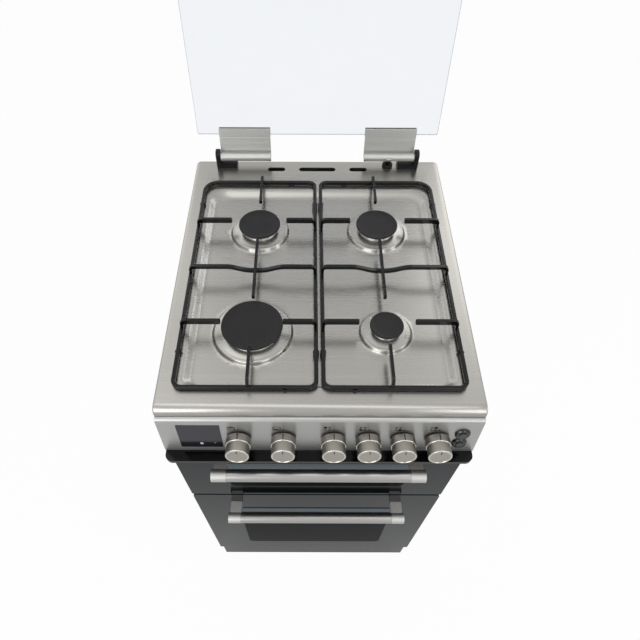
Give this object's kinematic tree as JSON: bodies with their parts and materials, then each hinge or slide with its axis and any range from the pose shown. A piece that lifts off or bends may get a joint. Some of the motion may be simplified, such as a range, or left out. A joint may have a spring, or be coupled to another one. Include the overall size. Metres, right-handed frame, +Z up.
{
  "type": "freestanding gas cooker",
  "caption": "Narrow freestanding gas cooker: burner hob under a hinged glass lid, control panel with knobs, and a shallow grill oven over a taller main oven, each with a drop-down door.",
  "frame": {"origin": "on the floor, under the middle of the box that the cooker takes with its lid open", "axes": "+X to the right seen from the front, +Y to the back, +Z up"},
  "size_m": [0.5, 0.7418, 1.4654],
  "materials": {
    "black_glass": "black-backed toughened glass",
    "black_paint": "satin black paint on folded steel",
    "black_plastic": "moulded black nylon",
    "black_rubber": "black silicone rubber",
    "bracket_alloy": "satin anodised aluminium extrusion",
    "bright_steel": "bright zinc-plated steel",
    "burner_alloy": "cast and turned aluminium",
    "button_plastic": "glossy black ABS",
    "cap_enamel": "matt black vitreous enamel on a steel cap",
    "ceramic": "glazed white ceramic",
    "clear_glass": "clear toughened glass with polished edges",
    "foot_plastic": "moulded black nylon",
    "galvanised": "galvanised steel sheet with a faint spangle",
    "handle_end_metal": "satin metal casting",
    "handle_steel": "brushed stainless tube",
    "hob_steel": "brushed stainless steel, grain from left to right",
    "knob_metal": "spun metallic finish with a bright upper rim",
    "ledge_enamel": "glossy black enamel",
    "liner_enamel": "glossy dark vitreous enamel with fine specks",
    "pan_enamel": "glossy black vitreous enamel",
    "panel_steel": "brushed stainless steel, grain from left to right",
    "seal_rubber": "black silicone rubber",
    "shelf_chrome": "chromed steel wire",
    "side_paint": "satin grey paint on steel sheet",
    "support_enamel": "glossy black vitreous enamel on steel bar",
    "tap_brass": "machined brass",
    "timer_glass": "smoked glass with a darker strip along its foot"
  },
  "bodies": {
    "cooker": {"side_panel_left": "side_paint", "side_panel_right": "side_paint", "rear_panel": "galvanised", "base_tray": "galvanised", "plinth": "black_paint", "levelling_feet": "foot_plastic", "front_frame": "liner_enamel", "hob_top": "hob_steel", "burner_cups": "burner_alloy", "burner_crowns": "burner_alloy", "burner_caps": "cap_enamel", "electrodes": "ceramic", "flue_duct": "galvanised", "lid_hinge_blocks": "black_plastic", "lid_hinge_pins": "bright_steel", "plunger_collar": "black_plastic", "control_panel": "panel_steel", "timer_display": "timer_glass", "gas_taps": "tap_brass", "gas_rail": "bright_steel", "button_bezels": "button_plastic", "ledge": "ledge_enamel", "door_hinge_brackets": "bright_steel", "door_seals": "seal_rubber", "upper_cavity": "liner_enamel", "lower_cavity": "liner_enamel", "oven_burners": "bright_steel", "oven_shelves": "shelf_chrome", "grill_pan": "pan_enamel"},
    "lid": {"lid_glass": "clear_glass", "lid_brackets": "bracket_alloy"},
    "shut_off_pin": {"lid_plunger": "bright_steel"},
    "left_pan_support": {"pan_support_left": "support_enamel", "support_feet_left": "black_rubber"},
    "right_pan_support": {"pan_support_right": "support_enamel", "support_feet_right": "black_rubber"},
    "upper_door": {"upper_door_glass": "black_glass", "upper_door_frame": "black_paint", "upper_inner_glass": "clear_glass", "upper_handle_bar": "handle_steel", "upper_handle_ends": "handle_end_metal"},
    "lower_door": {"lower_door_glass": "black_glass", "lower_door_frame": "black_paint", "lower_inner_glass": "clear_glass", "lower_handle_bar": "handle_steel", "lower_handle_ends": "handle_end_metal"},
    "ignition_button": {"ignition_button": "button_plastic"},
    "light_button": {"light_button": "button_plastic"},
    "tap_1": {"spindle_1": "tap_brass"},
    "knob_1": {"knob_1": "knob_metal"},
    "tap_2": {"spindle_2": "tap_brass"},
    "knob_2": {"knob_2": "knob_metal"},
    "tap_3": {"spindle_3": "tap_brass"},
    "knob_3": {"knob_3": "knob_metal"},
    "tap_4": {"spindle_4": "tap_brass"},
    "knob_4": {"knob_4": "knob_metal"},
    "tap_5": {"spindle_5": "tap_brass"},
    "knob_5": {"knob_5": "knob_metal"},
    "tap_6": {"spindle_6": "tap_brass"},
    "knob_6": {"knob_6": "knob_metal"}
  },
  "joints": [
    {"name": "lid_hinge", "type": "hinge", "parent": "cooker", "child": "lid", "pos_m": [0, 0.2581, 0.92], "axis": [1, 0, 0], "range_deg": [0, 100]},
    {"name": "shut_off_press", "type": "slide", "parent": "cooker", "child": "shut_off_pin", "axis": [0, 0, -1], "range_m": [0, 0.00301]},
    {"name": "left_support_lift", "type": "slide", "parent": "cooker", "child": "left_pan_support", "axis": [0, 0, -1], "range_m": [-0.08, 0]},
    {"name": "right_support_lift", "type": "slide", "parent": "cooker", "child": "right_pan_support", "axis": [0, 0, -1], "range_m": [-0.08, 0]},
    {"name": "upper_door_hinge", "type": "hinge", "parent": "cooker", "child": "upper_door", "pos_m": [0, -0.3179, 0.57603], "axis": [1, 0, 0], "range_deg": [0, 90]},
    {"name": "lower_door_hinge", "type": "hinge", "parent": "cooker", "child": "lower_door", "pos_m": [0, -0.3179, 0.16003], "axis": [1, 0, 0], "range_deg": [0, 90]},
    {"name": "tap_1_turn", "type": "hinge", "parent": "cooker", "child": "tap_1", "pos_m": [-0.126, -0.33172, 0.83626], "axis": [0, -0.9925, 0.1219], "range_deg": [0, 270]},
    {"name": "knob_1_push", "type": "slide", "parent": "tap_1", "child": "knob_1", "axis": [0, 0.9925, -0.1219], "range_m": [0, 0.003], "stiffness_N_per_m": 600, "springref_m": -0.003},
    {"name": "tap_2_turn", "type": "hinge", "parent": "cooker", "child": "tap_2", "pos_m": [-0.056, -0.33172, 0.83626], "axis": [0, -0.9925, 0.1219], "range_deg": [0, 270]},
    {"name": "knob_2_push", "type": "slide", "parent": "tap_2", "child": "knob_2", "axis": [0, 0.9925, -0.1219], "range_m": [0, 0.003], "stiffness_N_per_m": 600, "springref_m": -0.003},
    {"name": "tap_3_turn", "type": "hinge", "parent": "cooker", "child": "tap_3", "pos_m": [0.0219, -0.33172, 0.83626], "axis": [0, -0.9925, 0.1219], "range_deg": [0, 210]},
    {"name": "knob_3_push", "type": "slide", "parent": "tap_3", "child": "knob_3", "axis": [0, 0.9925, -0.1219], "range_m": [0, 0.003], "stiffness_N_per_m": 600, "springref_m": -0.003},
    {"name": "tap_4_turn", "type": "hinge", "parent": "cooker", "child": "tap_4", "pos_m": [0.0759, -0.33172, 0.83626], "axis": [0, -0.9925, 0.1219], "range_deg": [0, 210]},
    {"name": "knob_4_push", "type": "slide", "parent": "tap_4", "child": "knob_4", "axis": [0, 0.9925, -0.1219], "range_m": [0, 0.003], "stiffness_N_per_m": 600, "springref_m": -0.003},
    {"name": "tap_5_turn", "type": "hinge", "parent": "cooker", "child": "tap_5", "pos_m": [0.1299, -0.33172, 0.83626], "axis": [0, -0.9925, 0.1219], "range_deg": [0, 210]},
    {"name": "knob_5_push", "type": "slide", "parent": "tap_5", "child": "knob_5", "axis": [0, 0.9925, -0.1219], "range_m": [0, 0.003], "stiffness_N_per_m": 600, "springref_m": -0.003},
    {"name": "tap_6_turn", "type": "hinge", "parent": "cooker", "child": "tap_6", "pos_m": [0.1839, -0.33172, 0.83626], "axis": [0, -0.9925, 0.1219], "range_deg": [0, 210]},
    {"name": "knob_6_push", "type": "slide", "parent": "tap_6", "child": "knob_6", "axis": [0, 0.9925, -0.1219], "range_m": [0, 0.003], "stiffness_N_per_m": 600, "springref_m": -0.003},
    {"name": "ignition_button_press", "type": "slide", "parent": "cooker", "child": "ignition_button", "axis": [0, 0.9925, -0.1219], "range_m": [0, 0.003], "stiffness_N_per_m": 400, "springref_m": -0.002},
    {"name": "light_button_press", "type": "slide", "parent": "cooker", "child": "light_button", "axis": [0, 0.9925, -0.1219], "range_m": [0, 0.003], "stiffness_N_per_m": 400, "springref_m": -0.002}
  ],
  "couplings": [
    {"joint": "shut_off_press", "follows": "lid_hinge", "m_per_rad": 0.0017189}
  ]
}
